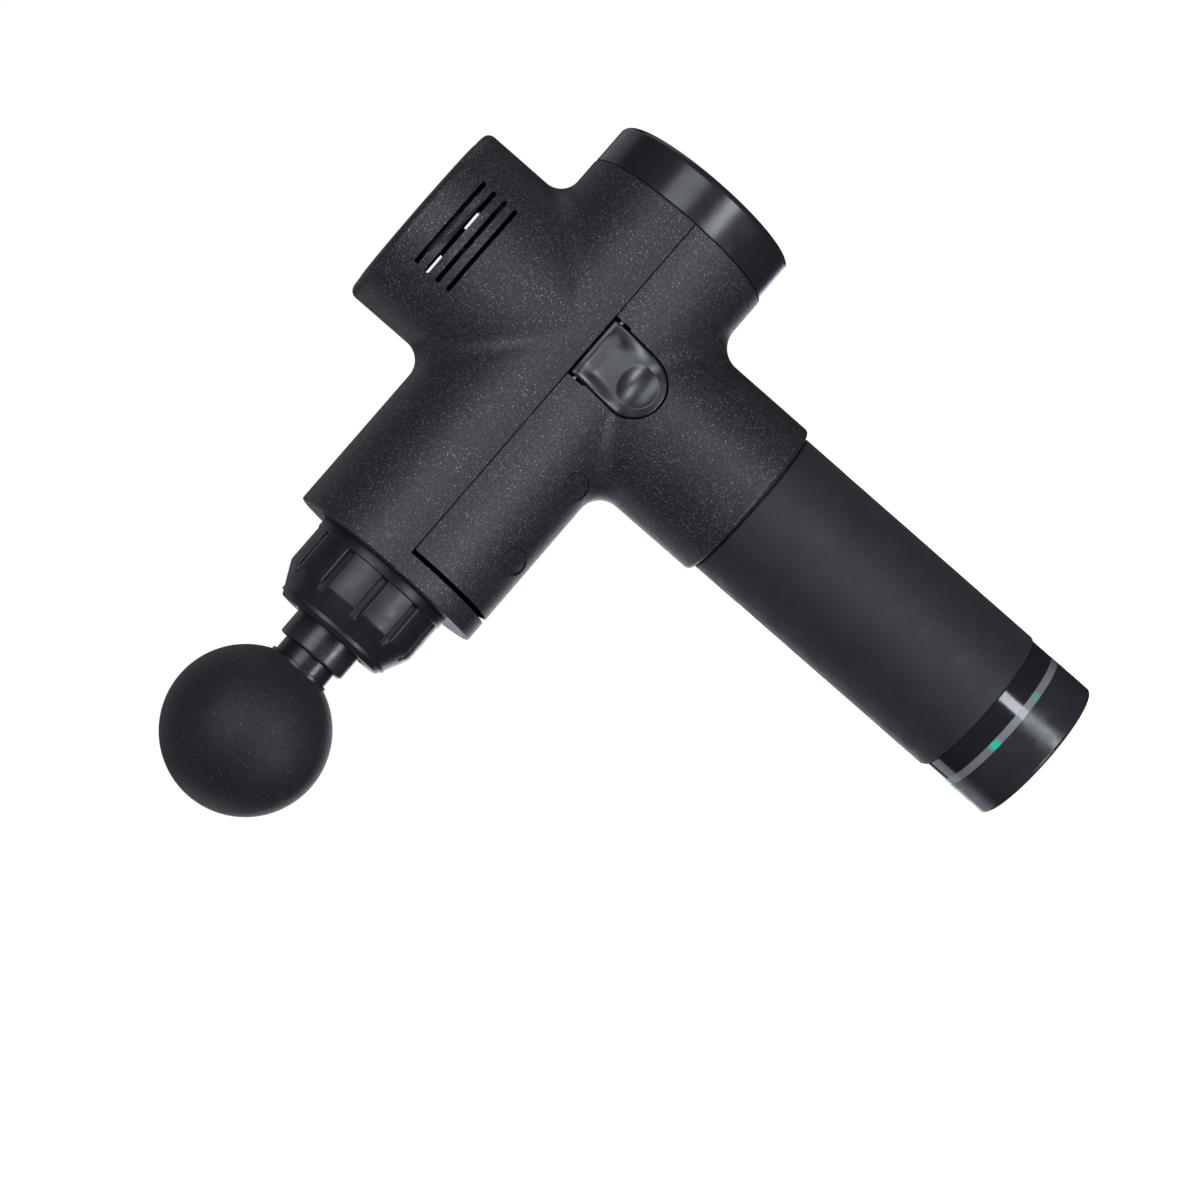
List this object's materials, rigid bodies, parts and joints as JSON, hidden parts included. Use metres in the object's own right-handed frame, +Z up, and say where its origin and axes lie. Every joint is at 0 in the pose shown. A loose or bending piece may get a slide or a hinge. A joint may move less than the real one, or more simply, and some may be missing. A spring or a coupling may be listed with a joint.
{
  "type": "massage gun",
  "caption": "Cordless percussion massage gun with a horizontal barrel, a top motor housing, a foam ball head on a reciprocating piston and a removable battery grip.",
  "frame": {"origin": "centre of the handle's flat base, where the gun stands", "axes": "+Z up along the handle and motor axis, -X towards the massage head along the barrel, -Y the left side of the gun"},
  "size_m": [0.2292, 0.0628, 0.24],
  "materials": {
    "flecked_shell": "matte",
    "gloss_black": "gloss",
    "panel_glass": "gloss",
    "satin_black": "satin",
    "foam": "matte",
    "head_plastic": "satin",
    "grip_rubber": "matte",
    "seal_rubber": "matte",
    "light_diffuser": "satin",
    "led": "gloss",
    "copper_grille": "satin",
    "alloy": "satin",
    "bearing_bronze": "satin",
    "steel": "satin",
    "bearing_steel": "polished",
    "spring_steel": "satin",
    "screw_steel": "satin",
    "copper_wire": "satin",
    "magnet": "satin",
    "fan_plastic": "satin",
    "roller_plastic": "satin",
    "circuit_board": "satin",
    "inner_plastic": "matte",
    "contact_metal": "polished",
    "nickel": "satin",
    "cell_wrap": "gloss",
    "socket_black": "satin",
    "switch_black": "satin"
  },
  "bodies": {
    "casing": {"upper_housing": "flecked_shell", "lower_housing_left": "flecked_shell", "lower_housing_right": "flecked_shell", "rear_cap": "gloss_black", "touch_panel": "panel_glass", "display_board": "circuit_board", "end_ring": "satin_black", "end_grille": "copper_grille", "nozzle_tube": "alloy", "front_bushing": "bearing_bronze", "collar": "satin_black", "dust_seal": "seal_rubber", "motor_can": "alloy", "stator_core": "steel", "motor_windings": "copper_wire", "motor_bearings": "bearing_steel", "motor_mount_plate": "alloy", "motor_screws": "screw_steel", "guide_rails": "alloy", "controller_board": "circuit_board", "contact_block": "inner_plastic", "housing_screws": "screw_steel", "screw_plugs": "flecked_shell", "lever_pins": "steel", "lever_spring_left": "spring_steel", "lever_spring_right": "spring_steel"},
    "rotor": {"motor_shaft": "steel", "rotor_magnet": "magnet", "fan": "fan_plastic", "crank_disc": "steel", "crank_pin": "steel", "crank_bearing": "bearing_steel"},
    "roller": {"guide_roller": "roller_plastic"},
    "piston": {"plunger": "satin_black", "plunger_pin": "steel", "yoke": "alloy", "yoke_stud": "steel"},
    "massage_head": {"head_core": "head_plastic", "head_ball": "foam", "head_o_rings": "seal_rubber"},
    "battery_handle": {"battery_tube": "inner_plastic", "grip_sleeve": "grip_rubber", "gloss_ring": "gloss_black", "light_ring": "light_diffuser", "base_cap": "satin_black", "base_screws": "screw_steel", "base_board": "circuit_board", "light_leds": "led", "charge_socket": "socket_black", "switch_frame": "inner_plastic", "battery_cells": "cell_wrap", "cell_holders": "inner_plastic", "cell_links": "nickel", "battery_board": "circuit_board", "contact_carrier": "inner_plastic", "battery_contacts": "contact_metal"},
    "rocker": {"power_switch": "switch_black"},
    "lever_left": {"release_lever_left": "satin_black"},
    "lever_right": {"release_lever_right": "satin_black"}
  },
  "joints": [
    {"name": "crank_turn", "type": "hinge", "parent": "casing", "child": "rotor", "pos_m": [0, 0, 0.19], "axis": [0, 0, 1], "continuous": true},
    {"name": "roller_turn", "type": "hinge", "parent": "rotor", "child": "roller", "pos_m": [0.003, 0, 0.169], "axis": [0, 0, 1], "continuous": true},
    {"name": "piston_stroke", "type": "hinge", "parent": "roller", "child": "piston", "pos_m": [0.006, 0, 0.179], "axis": [0, 0, 1], "continuous": true},
    {"name": "head_pull_off", "type": "slide", "parent": "piston", "child": "massage_head", "axis": [-1, 0, 0], "range_m": [0, 0.025]},
    {"name": "battery_slide", "type": "slide", "parent": "casing", "child": "battery_handle", "axis": [0, 0, -1], "range_m": [0, 0.04]},
    {"name": "power_rocker", "type": "hinge", "parent": "battery_handle", "child": "rocker", "pos_m": [-0.011, 0, 0.0066], "axis": [0, -1, 0], "range_deg": [0, 16]},
    {"name": "left_lever_press", "type": "hinge", "parent": "casing", "child": "lever_left", "pos_m": [0, -0.0274, 0.1748], "axis": [1, 0, 0], "range_deg": [0, 6], "stiffness_Nm_per_rad": 0.5, "springref_deg": -5.73, "deforming": ["lever_spring_left"]},
    {"name": "right_lever_press", "type": "hinge", "parent": "casing", "child": "lever_right", "pos_m": [0, 0.0274, 0.1748], "axis": [-1, 0, 0], "range_deg": [0, 6], "stiffness_Nm_per_rad": 0.5, "springref_deg": -5.73, "deforming": ["lever_spring_right"]}
  ],
  "couplings": [
    {"joint": "roller_turn", "follows": "crank_turn", "ratio": -2},
    {"joint": "piston_stroke", "follows": "crank_turn", "ratio": 1}
  ]
}
